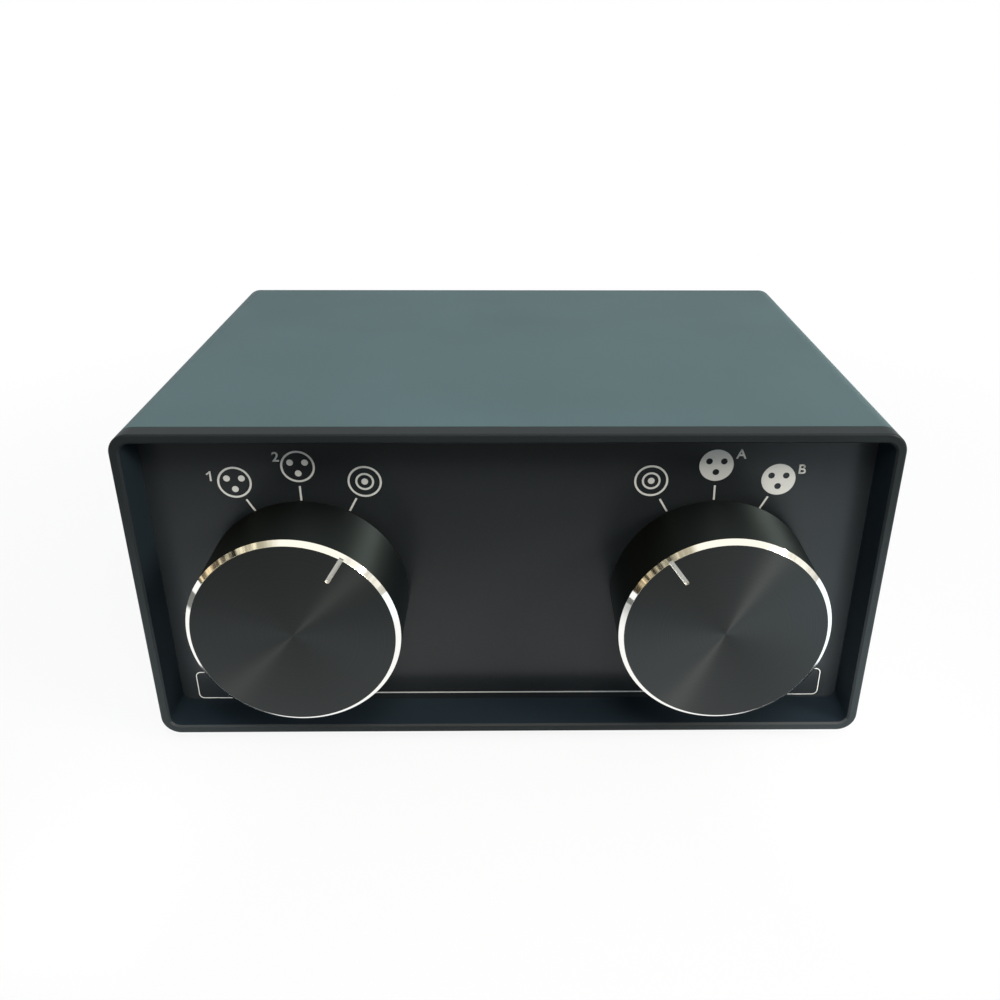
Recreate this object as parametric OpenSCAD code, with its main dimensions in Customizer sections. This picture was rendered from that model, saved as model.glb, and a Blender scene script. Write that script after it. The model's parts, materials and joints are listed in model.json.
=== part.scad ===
// Audio source selector: two rotary selectors on a recessed front panel, in an extruded aluminium sleeve,
// with three-pin sockets, three-pin plugs and phono jacks on the rear panel.
// Millimetres. X runs to the right as seen from the front, Y runs to the rear and Z runs up.
// The origin is on the ground, under the middle of the whole object.

/* [Case] */
// Width of the case
case_w = 152; // [138:1:190]
// Height of the case without its feet
case_h = 71; // [70:1:90]
// Depth from the front rim to the rear end of the sleeve
case_d = 107; // [95:1:150]
// Outer corner radius of the sleeve and the front frame
corner_r = 4; // [3.2:0.1:6]
// Wall of the sleeve
wall = 2; // [1.9:0.1:2.5]
// Depth of the front frame that shows ahead of the sleeve
frame_band = 4; // [3:0.5:6]
// Depth from the front rim to the face of the front panel
recess = 9.2; // [7:0.2:12]
// Thickness of the tongue of the frame inside the sleeve
tongue_t = 1; // [0.7:0.1:1.2]
// Clearance between the tongue and the sleeve
tongue_gap = 0.1; // [0.05:0.05:0.3]
// Rounding on the outer front edge of the frame
rim_round = 0.5; // [0.2:0.05:0.8]
// Bevel on the inner front edge of the frame
mouth_bevel = 0.4; // [0.1:0.05:0.5]
// Bevel on the frame where it meets the sleeve
seam_bevel = 0.2; // [0.1:0.05:0.4]
// Thickness of the front panel
panel_t = 2; // [1.5:0.1:3]
// Thickness of the rear panel
rear_t = 2; // [1.5:0.1:3]
// Clearance around the two panels
plate_gap = 0.15; // [0.05:0.05:0.3]

/* [Case screws] */
// Radius of the screw channels in the corners of the sleeve
channel_r = 3.3; // [3:0.1:4]
// Diameter of the hole in each screw channel
channel_hole_d = 2.5; // [2.3:0.1:2.8]
// Diameter of the screw's thread core
case_screw_d = 2.4; // [2:0.1:2.4]
// Diameter of the screw's head
case_head_d = 5.4; // [4.5:0.1:6]
// Height of the screw's head
case_head_h = 1.9; // [1.5:0.1:2.5]
// Length of the screw behind its head
case_screw_len = 10; // [6:1:16]
// Clearance around a screw in a panel
screw_gap = 0.3; // [0.1:0.1:0.4]
// Bevel of a screw's head, as a share of the head's height
head_round = 0.4; // [0.2:0.05:0.6]
// Length of the cross recess, as a share of the head's diameter
cross_len = 0.5; // [0.4:0.05:0.7]
// Width of the cross recess, as a share of the head's diameter
cross_w = 0.125; // [0.1:0.025:0.2]

/* [Feet] */
// Height of the rubber feet
foot_h = 4; // [2:0.5:8]
// Diameter of a foot where it meets the sleeve
foot_d = 12; // [8:0.5:16]
// Diameter of a foot on the ground
foot_tip_d = 10; // [7:0.5:14]
// Distance from the sides, front and rear of the sleeve to the foot's axis
foot_inset = 14; // [10:1:25]

/* [Knobs] */
// Distance of each knob's axis from the middle
knob_x = 42.4; // [40:0.2:48]
// Height of the knobs' axes above the underside of the case
knob_z = 32.6; // [30:0.2:38]
// Diameter of a knob
knob_d = 42; // [36:0.5:46]
// Thickness of a knob
knob_t = 17; // [15.5:0.5:22]
// Gap between a knob and the front panel
knob_gap = 2.2; // [1:0.1:3]
// Width of the bright bevel, across the face
edge_w = 1; // [0.6:0.1:1.6]
// Depth of the bright bevel, along the axis
edge_h = 0.9; // [0.6:0.1:1.6]
// Bevel on the rear edge of a knob
back_bevel = 0.4; // [0.2:0.1:0.8]
// Wall of a knob ahead of its bore
knob_front_t = 2.6; // [2:0.1:4]
// Diameter of the space behind a knob for the switch's nut
counterbore_d = 17; // [15:0.5:20]
// Depth of that space
counterbore_deep = 4.6; // [4.2:0.1:5]
// Width of the milled pointer
pointer_w = 0.9; // [0.6:0.1:1.4]
// Length of the milled pointer
pointer_len = 6.2; // [4:0.2:9]
// Depth of the milled pointer
pointer_deep = 0.3; // [0.2:0.1:0.5]
// Diameter of the grub screw
grub_d = 4; // [3:0.5:5]
// Length of the grub screw
grub_len = 8; // [5:1:12]
// Clearance around the grub screw
grub_gap = 0.05; // [0.02:0.01:0.1]
// Angle at which the left knob is clamped past its mark, clockwise
input_knob_set = 2; // [-6:0.5:6]
// Angle at which the right knob is clamped past its mark, clockwise
output_knob_set = -6; // [-6:0.5:6]

/* [Rotary switches] */
// Diameter of the shaft
shaft_d = 6; // [5:0.1:6.4]
// Radial running clearance around the shaft
shaft_gap = 0.05; // [0.02:0.01:0.1]
// Depth of the flat on the shaft
shaft_flat = 1; // [0.5:0.1:1.5]
// Length of the shaft inside the knob
shaft_grip = 9.4; // [7:0.2:9.6]
// Outer diameter of the threaded bush
bush_d = 9; // [8.4:0.1:10]
// Length of the bush ahead of the panel's rear face
bush_len = 7.4; // [6.4:0.1:7.6]
// Clearance around the bush in the panel, nut and washer
bush_gap = 0.1; // [0.05:0.05:0.2]
// Width of the nut across its flats
nut_af = 12; // [11:0.5:13]
// Thickness of the nut
nut_t = 2; // [1.6:0.1:2.4]
// Outer diameter of the lock washer
washer_d = 13.4; // [12.5:0.1:14]
// Thickness of the lock washer
washer_t = 0.6; // [0.4:0.1:0.8]
// Diameter of the key that stops the switch from turning in the panel
key_d = 2.6; // [2:0.1:3]
// Distance of the key from the shaft's axis
key_r = 10.5; // [9:0.1:11.5]
// Outer diameter of the switch housing
housing_d = 26; // [25:0.5:32]
// Wall of the switch housing
housing_wall = 1.8; // [1.4:0.1:2]
// Length of the switch housing
housing_len = 14; // [13:0.5:20]
// Floor of the switch housing
floor_t = 2; // [1.5:0.1:3]
// Thickness of the index plate behind the panel
index_t = 2.2; // [1.8:0.1:3]
// Angle from one switch position to the next
step_angle = 30; // [20, 24, 30]
// Angle by which a common pad passes the first and the last position
pad_overlap = 8; // [4:1:10]
// Radius of the detent wheel
star_r = 7; // [6.5:0.1:7.4]
// Thickness of the detent wheel
star_t = 3.2; // [2.5:0.1:4]
// Radius of the notches in the detent wheel
notch_r = 1.4; // [1.2:0.1:1.5]
// Clearance of the moving pieces in the switch
run_gap = 0.3; // [0.2:0.05:0.5]
// Thickness of the detent spring
spring_t = 0.4; // [0.3:0.05:0.5]
// Radius of the circle of fixed contacts
throw_r = 9; // [8.6:0.1:9.4]
// Radius of the circle of common contacts
common_r = 5.4; // [5:0.1:6]
// Diameter of a contact pad
pad_d = 2; // [1.6:0.1:2.2]
// Thickness of a contact pad
pad_t = 0.5; // [0.3:0.1:0.8]
// Diameter of a terminal's stem
stem_d = 0.9; // [0.7:0.1:1.1]
// Thickness of a wiper
wiper_t = 0.4; // [0.3:0.1:0.6]
// Height of a wiper's contact points
wiper_h = 0.5; // [0.4:0.1:0.8]
// Gap between wipers and pads
contact_gap = 0.1; // [0.05:0.05:0.2]

/* [Boards and ribbons] */
// Thickness of the circuit boards
board_t = 1.6; // [1.2:0.1:2]
// Margin of the switch board around the switches
switch_board_margin = 4; // [2:0.5:6]
// Clearance between the rear board and the screw channels
rear_board_gap = 1; // [0.5:0.1:3]
// Clearance around a stem or tail in a board
hole_gap = 0.05; // [0.03:0.01:0.1]
// Length of the stems and tails past a board
tail_out = 1.2; // [0.8:0.1:2]
// Width of the ribbon cables
ribbon_w = 20; // [14:1:26]
// Thickness of the ribbon cables
ribbon_t = 1; // [0.8:0.1:1.2]
// Distance of the ribbon cables from the middle
ribbon_x = 16; // [14:1:20]
// Bend radius of the ribbon cables
ribbon_bend_r = 9; // [6:0.5:12]
// Length of the ribbon cables upright above their plugs
ribbon_leg = 3; // [1:0.5:6]
// Depth of the headers on the boards
header_deep = 6; // [5:0.5:8]
// Depth of the ribbon plugs
plug_deep = 5; // [4:0.5:7]
// Height of the headers and ribbon plugs
header_h = 6; // [5:0.5:8]
// Width of the headers and plugs past the ribbon on each side
header_margin = 1.5; // [1:0.5:2]

/* [Three-pin connectors] */
// Width of a connector's flange
flange_w = 26; // [25.5:0.1:26.2]
// Height of a connector's flange
flange_h = 31; // [30:0.1:31.2]
// Corner radius of a flange
flange_r = 3; // [1:0.5:4]
// Thickness of a flange
flange_t = 2; // [1.5:0.1:3]
// Gap between the upper and the lower row of flanges
flange_gap = 0.5; // [0.3:0.1:0.8]
// Gap between the row of connectors and the heads of the rear panel's screws
row_gap = 0.8; // [0.4:0.1:2]
// Diameter of a connector's barrel
barrel_d = 23.6; // [23:0.1:24]
// Length of a connector's barrel behind its flange
barrel_len = 22; // [19:0.5:25]
// Clearance around a barrel in the rear panel
barrel_gap = 0.2; // [0.1:0.1:0.3]
// Height of the collar around a connector's mouth
collar_h = 1.4; // [1:0.1:2.5]
// Inner diameter of a socket's shell
socket_d = 19.2; // [18.8:0.1:19.6]
// Diameter of a socket's nose
nose_d = 15.9; // [15.5:0.1:16.1]
// Depth of a socket or plug in front of its insert's base
mouth_deep = 15; // [13:0.5:16]
// Inner diameter of a plug's shell
cup_d = 16.2; // [15.8:0.1:16.6]
// Clearance of an insert in its shell
insert_gap = 0.05; // [0.03:0.01:0.1]
// Radius of the circle of contacts
contact_r = 4.6; // [4.4:0.1:4.9]
// Diameter of a plug's pins
pin_d = 2.4; // [2.2:0.1:2.5]
// Distance of the pins' tips below the mouth
pin_set = 3; // [2:0.5:5]
// Outer diameter of a socket's contacts
contact_d = 3.2; // [3:0.1:3.4]
// Diameter of the hole in a socket's contacts
contact_hole_d = 2.45; // [2.3:0.05:2.6]
// Depth of the hole in a socket's contacts
contact_deep = 10; // [8:0.5:12]
// Distance of a socket's nose below its mouth
nose_set = 1; // [0.5:0.1:2]
// Diameter of the tails that reach the rear board
tail_d = 1.4; // [1:0.1:1.8]
// Sideways distance of a flange screw from the connector's axis
flange_screw_x = 9.5; // [9:0.1:10]
// Upright distance of a flange screw from the connector's axis
flange_screw_z = 12; // [11.6:0.1:12.4]
// Diameter of the flange screws
flange_screw_d = 2.8; // [2.4:0.1:3]
// Diameter of the flange screws' heads
flange_head_d = 5; // [4.6:0.1:5.4]
// Height of the flange screws' heads
flange_head_h = 1.6; // [1.2:0.1:2]
// Length of the flange screws behind the rear panel
flange_screw_out = 2; // [1:0.5:3]
// Width of a latch
latch_w = 5; // [4:0.5:5.5]
// Thickness of a latch
latch_t = 1.2; // [1:0.1:1.4]
// Travel of a latch
latch_travel = 1.2; // [0.8:0.1:1.5]
// Length of a latch inside the socket
latch_len = 9; // [7:0.5:11]
// Clearance around a latch
latch_gap = 0.15; // [0.1:0.05:0.2]
// Height of a latch's thumb tab above the collar
tab_h = 2.6; // [2:0.1:4]
// Width of a latch's thumb tab
tab_w = 9; // [7:0.5:10]
// Thickness of a latch's thumb tab
tab_t = 1.4; // [1:0.1:2]

/* [Phono jacks] */
// Distance between two phono jacks, one above the other
phono_pitch = 14; // [13:0.5:16]
// Outer diameter of a phono jack's barrel
phono_d = 8.3; // [8.1:0.1:8.5]
// Length of a phono jack outside the rear panel
phono_out = 10; // [9:0.5:12]
// Diameter of a phono jack's flange
phono_flange_d = 11.5; // [10.5:0.5:12]
// Thickness of a phono jack's flange
phono_flange_t = 2; // [1.5:0.1:3]
// Diameter of a phono jack's thread
phono_thread_d = 7.8; // [7.4:0.1:8]
// Length of a phono jack's thread behind the rear panel's outer face
phono_thread_len = 10; // [8:0.5:14]
// Clearance around a thread in the rear panel, tag and nut
phono_gap = 0.1; // [0.05:0.05:0.2]
// Diameter of the bore for the insulator
phono_bore_d = 6.2; // [5.8:0.1:6.4]
// Outer diameter of the centre contact
phono_contact_d = 4.3; // [4:0.1:4.6]
// Diameter of the hole for the plug's pin
phono_hole_d = 3.3; // [3.2:0.05:3.5]
// Clearance of the insulator and the centre contact
phono_fit = 0.05; // [0.03:0.01:0.1]
// Thickness of the solder tag
tag_t = 0.8; // [0.5:0.1:1]
// Thickness of the phono nut
phono_nut_t = 2.2; // [1.8:0.1:3]
// Width of the phono nut across its flats
phono_nut_af = 11; // [10:0.5:12]
// Clearance between the tag's leg and the phono nut
tag_gap = 0.25; // [0.1:0.05:0.6]

/* [Hidden] */
$fn = 64;

// Colours as the photograph shows them, or as such pieces usually are
anodised = [0.22, 0.25, 0.26];
dark_anodised = [0.13, 0.15, 0.16];
knob_black = [0.10, 0.10, 0.10];
bright_steel = [0.75, 0.76, 0.77];
black_oxide = [0.09, 0.09, 0.10];
soft_black = [0.06, 0.06, 0.06];
brass_gold = [0.80, 0.62, 0.28];
board_green = [0.08, 0.30, 0.16];
ribbon_grey = [0.55, 0.56, 0.58];
white_plastic = [0.85, 0.85, 0.82];

// Length by which a cut passes the face that it opens
cut = 1;
sides = [-1, 1];

// Places along the depth, from the front rim
panel_back = recess + panel_t;
rear_y = case_d - rear_t;
knob_back = recess - knob_gap;
knob_face = knob_back - knob_t;
counterbore_y = knob_back - counterbore_deep;
shaft_front = counterbore_y - shaft_grip;
housing_y = panel_back + index_t;
switch_board_y = housing_y + housing_len;
floor_y = switch_board_y - floor_t;
rotor_y = housing_y + run_gap;
rotor_back = floor_y - pad_t - contact_gap - wiper_h - wiper_t;
rear_board_y = case_d - barrel_len - board_t;
mouth_y = case_d + flange_t + collar_h;
insert_y = mouth_y - mouth_deep;
insert_back = case_d - barrel_len;
stem_end = switch_board_y + board_t + tail_out;
tail_end = rear_board_y - tail_out;

// The object's depth is centred on the origin
rim_y = -(case_d + phono_out + knob_face) / 2;

// Outlines
inner_w = case_w - 2 * wall;
inner_h = case_h - 2 * wall;
inner_r = corner_r - wall;
rebate = tongue_t + tongue_gap;
plate_grow = rebate - plate_gap;
middle_z = case_h / 2;
channel_x = inner_w / 2 - channel_r;
channel_z = inner_h / 2 - channel_r;

// Places of the connectors on the rear panel
columns = 4;
rear_row_w = 2 * (channel_x - case_head_d / 2 - row_gap);
connector_gap = (rear_row_w - columns * flange_w - phono_flange_d) / columns;
connector_pitch = flange_w + connector_gap;
row_z = (flange_h + flange_gap) / 2;
function connector_x(i) = rear_row_w / 2 - flange_w / 2 - i * connector_pitch;
phono_x = -rear_row_w / 2 + phono_flange_d / 2;

// Switch positions and poles
poles = 4;
pole_angle = 360 / poles;
steps = [-1, 0, 1];
input_turn = step_angle;
output_turn = -step_angle;
contact_angles = [-60, 60, 180];

// Moves a piece from the case's own frame to the ground
module place() {
    translate([0, rim_y, foot_h]) children();
}

// Plate across the depth from one place to another, from an outline seen from the front
module slab(y_from, y_to) {
    translate([0, y_to, 0]) rotate([90, 0, 0]) linear_extrude(y_to - y_from) children();
}

// Round bar along the depth
module rod(x, z, y_from, y_to, r) {
    translate([x, y_from, z]) rotate([-90, 0, 0]) cylinder(h = y_to - y_from, r = r);
}

// Hexagonal bar along the depth
module hex_rod(af, y_from, y_to) {
    translate([0, y_from, 0]) rotate([-90, 0, 0]) cylinder(h = y_to - y_from, d = af / cos(30), $fn = 6);
}

// Piece turned about the depth axis, from a profile of radius and depth
module turned() {
    rotate([-90, 0, 0]) rotate_extrude() children();
}

// Turns a piece clockwise as seen from the front
module clock(angle) {
    rotate([0, angle, 0]) children();
}

// Rectangle with round corners, about its own middle
module rounded(w, h, r) {
    square([w - 2 * r, h], center = true);
    square([w, h - 2 * r], center = true);
    for (sx = sides, sz = sides) translate([sx * (w / 2 - r), sz * (h / 2 - r)]) circle(r);
}

// Outline of the sleeve's inside, grown on every side
module inside(grow) {
    translate([0, middle_z]) rounded(inner_w + 2 * grow, inner_h + 2 * grow, inner_r + grow);
}

module at_corners() {
    for (sx = sides, sz = sides) translate([sx * channel_x, 0, middle_z + sz * channel_z]) children();
}

// Sleeve

module channel_outline() {
    for (sx = sides, sz = sides)
        translate([sx * channel_x, middle_z + sz * channel_z])
            mirror([sx < 0 ? 1 : 0, 0]) mirror([0, sz < 0 ? 1 : 0]) {
                circle(channel_r);
                square(channel_r + wall / 2);
            }
}

module sleeve() {
    color(anodised) place() difference() {
        union() {
            difference() {
                slab(frame_band, case_d) translate([0, middle_z]) rounded(case_w, case_h, corner_r);
                slab(frame_band - cut, case_d + cut) inside(0);
                slab(frame_band - cut, panel_back) inside(rebate);
                slab(rear_y, case_d + cut) inside(rebate);
            }
            slab(panel_back, rear_y) intersection() {
                channel_outline();
                inside(wall / 2);
            }
        }
        at_corners() rod(0, 0, panel_back - cut, rear_y + cut, channel_hole_d / 2);
    }
}

// Front frame and panels

// Section of the frame: distance from the corner's centre, and depth
module frame_section() {
    polygon([
        [corner_r, rim_round], [corner_r, frame_band - seam_bevel], [corner_r - seam_bevel, frame_band],
        [inner_r + tongue_t, frame_band], [inner_r + tongue_t, recess], [inner_r, recess],
        [inner_r, mouth_bevel], [inner_r + mouth_bevel, 0], [corner_r - rim_round, 0]
    ]);
    translate([corner_r - rim_round, rim_round]) circle(rim_round);
}

// Carries the frame's section round a rectangle with round corners
module around_case() {
    flat_x = case_w / 2 - corner_r;
    flat_z = case_h / 2 - corner_r;
    for (turn = [0, 2]) rotate(turn * 90) {
        translate([flat_x, 0, 0]) rotate([90, 0, 0]) linear_extrude(2 * flat_z, center = true) children();
        rotate(90) translate([flat_z, 0, 0])
            rotate([90, 0, 0]) linear_extrude(2 * flat_x, center = true) children();
        translate([flat_x, flat_z, 0]) rotate_extrude(angle = 90) children();
        translate([-flat_x, flat_z, 0]) rotate(90) rotate_extrude(angle = 90) children();
    }
}

module front_frame() {
    color(dark_anodised) place() translate([0, 0, middle_z]) rotate([-90, 0, 0]) around_case() frame_section();
}

module front_panel() {
    color(dark_anodised) place() difference() {
        slab(recess, panel_back) inside(plate_grow);
        for (side = sides) translate([side * knob_x, 0, knob_z]) {
            rod(0, 0, recess - cut, panel_back + cut, bush_d / 2 + bush_gap);
            rod(0, key_r, recess - cut, panel_back + cut, key_d / 2 + bush_gap);
        }
    }
}

module rear_panel() {
    color(dark_anodised) place() difference() {
        slab(rear_y, case_d) inside(plate_grow);
        at_corners() rod(0, 0, rear_y - cut, case_d + cut, case_screw_d / 2 + screw_gap);
        at_connectors(sides) {
            rod(0, 0, rear_y - cut, case_d + cut, barrel_d / 2 + barrel_gap);
            at_flange_screws() rod(0, 0, rear_y - cut, case_d + cut, flange_screw_d / 2 + hole_gap);
        }
        at_phonos() rod(0, 0, rear_y - cut, case_d + cut, phono_thread_d / 2 + phono_gap);
    }
}

// Screw with a low rounded head and a cross recess, whose head sits on a face
module screw(face_y, head_d, head_h, shank_d, shank_len) {
    edge = head_h * head_round;
    slot_len = head_d * cross_len;
    slot_w = head_d * cross_w;
    difference() {
        turned() polygon([
            [0, face_y - shank_len], [shank_d / 2, face_y - shank_len], [shank_d / 2, face_y],
            [head_d / 2, face_y], [head_d / 2, face_y + head_h - edge],
            [head_d / 2 - edge, face_y + head_h], [0, face_y + head_h]
        ]);
        for (turn = [0, 90])
            clock(turn) translate([-slot_len / 2, face_y + head_h / 2, -slot_w / 2])
                cube([slot_len, head_h, slot_w]);
    }
}

module rear_panel_screws() {
    color(black_oxide) place() at_corners()
        screw(case_d, case_head_d, case_head_h, case_screw_d, case_screw_len);
}

module rubber_feet() {
    color(soft_black) place() for (sx = sides, y = [frame_band + foot_inset, case_d - foot_inset])
        translate([sx * (case_w / 2 - foot_inset), y, -foot_h])
            cylinder(h = foot_h, d1 = foot_tip_d, d2 = foot_d);
}

// Knobs and shafts

module at_input() {
    place() translate([-knob_x, 0, knob_z]) children();
}

module at_output() {
    place() translate([knob_x, 0, knob_z]) children();
}

module knob() {
    r = knob_d / 2;
    grub_y = (counterbore_y + shaft_front) / 2;
    pointer_z = r - edge_w + pointer_deep - pointer_len + pointer_w / 2;
    difference() {
        turned() polygon([
            [0, knob_face], [r - edge_w, knob_face], [r, knob_face + edge_h],
            [r, knob_back - back_bevel], [r - back_bevel, knob_back], [0, knob_back]
        ]);
        rod(0, 0, knob_face + knob_front_t, knob_back, shaft_d / 2 + shaft_gap);
        rod(0, 0, counterbore_y, knob_back + cut, counterbore_d / 2);
        translate([-pointer_w / 2, knob_face - cut, pointer_z])
            cube([pointer_w, pointer_deep + cut, r - pointer_z + cut]);
        rod(0, pointer_z, knob_face - cut, knob_face + pointer_deep, pointer_w / 2);
        translate([0, grub_y, 0]) rotate([180, 0, 0]) cylinder(h = r + cut, d = grub_d + 2 * grub_gap);
    }
}

module grub_screw() {
    grub_y = (counterbore_y + shaft_front) / 2;
    tip = shaft_d / 2 - shaft_flat + grub_gap;
    translate([0, grub_y, -tip]) rotate([180, 0, 0]) difference() {
        cylinder(h = grub_len, d = grub_d);
        translate([0, 0, grub_len / 2]) cylinder(h = grub_len, d = grub_d / 2, $fn = 6);
    }
}

module shaft() {
    difference() {
        rod(0, 0, shaft_front, rotor_back, shaft_d / 2);
        translate([-shaft_d, shaft_front - cut, -shaft_d - shaft_d / 2 + shaft_flat])
            cube([2 * shaft_d, shaft_grip + cut, shaft_d]);
    }
}

// Detent wheel in front and drum behind, moulded in one piece
module rotor() {
    difference() {
        union() {
            slab(rotor_y, rotor_y + star_t) difference() {
                circle(star_r);
                for (i = [0 : 360 / step_angle - 1])
                    rotate(i * step_angle) translate([0, notch_place()]) circle(notch_r);
            }
            rod(0, 0, rotor_y + star_t, rotor_back, throw_r + pad_d / 2);
        }
        rod(0, 0, rotor_y - cut, rotor_back + cut, shaft_d / 2 + shaft_gap / 2);
    }
}

// Distance of a notch's centre from the shaft's axis
function notch_place() = star_r + notch_r / 4;

module wipers() {
    for (pole = [0 : poles - 1]) clock((pole + 0.5) * pole_angle) {
        translate([-pad_d / 2, rotor_back, common_r]) cube([pad_d, wiper_t, throw_r - common_r]);
        for (z = [common_r, throw_r]) rod(0, z, rotor_back, rotor_back + wiper_t + wiper_h, pad_d / 2);
    }
}

module input_knob() {
    color(knob_black) at_input() clock(input_turn + input_knob_set) knob();
}

module input_grub_screw() {
    color(black_oxide) at_input() clock(input_turn + input_knob_set) grub_screw();
}

module input_shaft() {
    color(bright_steel) at_input() clock(input_turn + input_knob_set) shaft();
}

module input_rotor() {
    color(white_plastic) at_input() clock(input_turn) rotor();
}

module input_wipers() {
    color(brass_gold) at_input() clock(input_turn) wipers();
}

module output_knob() {
    color(knob_black) at_output() clock(output_turn + output_knob_set) knob();
}

module output_grub_screw() {
    color(black_oxide) at_output() clock(output_turn + output_knob_set) grub_screw();
}

module output_shaft() {
    color(bright_steel) at_output() clock(output_turn + output_knob_set) shaft();
}

module output_rotor() {
    color(white_plastic) at_output() clock(output_turn) rotor();
}

module output_wipers() {
    color(brass_gold) at_output() clock(output_turn) wipers();
}

// Fixed pieces of the rotary switches

// Index plate with its threaded bush and its key
module switch_bush() {
    color(bright_steel) {
        difference() {
            union() {
                rod(0, 0, panel_back, housing_y, housing_d / 2);
                rod(0, 0, panel_back - bush_len, panel_back, bush_d / 2);
                rod(0, key_r, panel_back - panel_t, panel_back, key_d / 2);
            }
            rod(0, 0, panel_back - bush_len - cut, housing_y + cut, shaft_d / 2 + shaft_gap);
        }
    }
}

// Lock washer with teeth on its inside
module switch_washer() {
    teeth = 8;
    hole_r = bush_d / 2 + bush_gap;
    tooth_len = (washer_d / 2 - hole_r) / 2;
    color(bright_steel) slab(recess - washer_t, recess) {
        difference() {
            circle(d = washer_d);
            circle(hole_r + tooth_len);
        }
        for (i = [0 : teeth - 1])
            rotate(i * 360 / teeth) translate([-tooth_len / 2, hole_r]) square([tooth_len, 1.5 * tooth_len]);
    }
}

module switch_nut() {
    color(bright_steel) difference() {
        hex_rod(nut_af, recess - washer_t - nut_t, recess - washer_t);
        rod(0, 0, recess - washer_t - nut_t - cut, recess - washer_t + cut, bush_d / 2 + bush_gap);
    }
}

// Runs a piece at the place of each fixed contact and of each common contact
module at_contacts(common) {
    for (pole = [0 : poles - 1])
        if (common) clock((pole + 0.5) * pole_angle) translate([0, 0, common_r]) children();
        else for (step = steps)
            clock((pole + 0.5) * pole_angle + step * step_angle) translate([0, 0, throw_r]) children();
}

module stem_holes(y_from, y_to) {
    for (common = [true, false]) at_contacts(common) rod(0, 0, y_from - cut, y_to + cut, stem_d / 2 + hole_gap);
}

module switch_housing() {
    color(soft_black) difference() {
        rod(0, 0, housing_y, switch_board_y, housing_d / 2);
        rod(0, 0, housing_y - cut, floor_y, housing_d / 2 - housing_wall);
        stem_holes(floor_y, switch_board_y);
    }
}

// Strip along a circle, about the upright direction
module ring_sector(r, w, angle) {
    far = 2 * r;
    intersection() {
        difference() {
            circle(r + w / 2);
            circle(r - w / 2);
        }
        polygon([
            [0, 0], [-far * sin(angle / 2), far * cos(angle / 2)],
            [0, far], [far * sin(angle / 2), far * cos(angle / 2)]
        ]);
    }
}

// Round pads for the positions, curved pads for the commons, and their stems through the board
module switch_terminals() {
    color(brass_gold) {
        at_contacts(false) rod(0, 0, floor_y - pad_t, floor_y, pad_d / 2);
        for (pole = [0 : poles - 1])
            clock((pole + 0.5) * pole_angle)
                slab(floor_y - pad_t, floor_y) ring_sector(common_r, pad_d, 2 * (step_angle + pad_overlap));
        for (common = [true, false]) at_contacts(common) rod(0, 0, floor_y - pad_t / 2, stem_end, stem_d / 2);
    }
}

// Leaf across the housing with a rounded bump in the detent wheel's upper notch
module detent_spring() {
    bump_r = notch_r - run_gap / 2;
    z_top = notch_place() + bump_r + spring_t;
    half = sqrt(pow(housing_d / 2 - housing_wall, 2) - pow(z_top, 2)) - contact_gap;
    color(bright_steel) slab(rotor_y, rotor_y + star_t) {
        translate([-half, z_top - spring_t]) square([2 * half, spring_t]);
        translate([0, notch_place()]) circle(bump_r);
        translate([-bump_r / 2, notch_place()]) square([bump_r, z_top - notch_place()]);
    }
}

module input_switch_bush() {
    at_input() switch_bush();
}

module input_switch_washer() {
    at_input() switch_washer();
}

module input_switch_nut() {
    at_input() switch_nut();
}

module input_switch_housing() {
    at_input() switch_housing();
}

module input_switch_terminals() {
    at_input() switch_terminals();
}

module input_detent_spring() {
    at_input() detent_spring();
}

module output_switch_bush() {
    at_output() switch_bush();
}

module output_switch_washer() {
    at_output() switch_washer();
}

module output_switch_nut() {
    at_output() switch_nut();
}

module output_switch_housing() {
    at_output() switch_housing();
}

module output_switch_terminals() {
    at_output() switch_terminals();
}

module output_detent_spring() {
    at_output() detent_spring();
}

// Boards and ribbon cables

module switch_board() {
    w = 2 * knob_x + housing_d + 2 * switch_board_margin;
    h = housing_d + 2 * switch_board_margin;
    color(board_green) place() difference() {
        slab(switch_board_y, switch_board_y + board_t) translate([0, knob_z]) square([w, h], center = true);
        for (side = sides) translate([side * knob_x, 0, knob_z])
            stem_holes(switch_board_y, switch_board_y + board_t);
    }
}

module rear_board() {
    w = 2 * (channel_x - channel_r - rear_board_gap);
    color(board_green) place() difference() {
        slab(rear_board_y, insert_back) translate([0, middle_z])
            square([w, inner_h - 2 * channel_r], center = true);
        at_connectors(sides) at_pins() rod(0, 0, rear_board_y - cut, insert_back + cut, tail_d / 2 + hole_gap);
        at_phonos() for (x = [0, tag_leg_r])
            rod(x, 0, rear_board_y - cut, insert_back + cut, tail_d / 2 + hole_gap);
    }
}

// Blocks on the boards for the two ribbons, from one distance off the boards to another
module ribbon_blocks(off_from, off_to) {
    front = switch_board_y + board_t;
    outline = [ribbon_w + 2 * header_margin, header_h];
    for (side = sides) translate([side * ribbon_x, 0, 0]) {
        slab(front + off_from, front + off_to) translate([0, knob_z]) square(outline, center = true);
        slab(rear_board_y - off_to, rear_board_y - off_from)
            translate([0, knob_z]) square(outline, center = true);
    }
}

module ribbon_headers() {
    color(soft_black) place() ribbon_blocks(0, header_deep);
}

module ribbon_plugs() {
    color(knob_black) place() ribbon_blocks(header_deep, header_deep + plug_deep);
}

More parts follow.
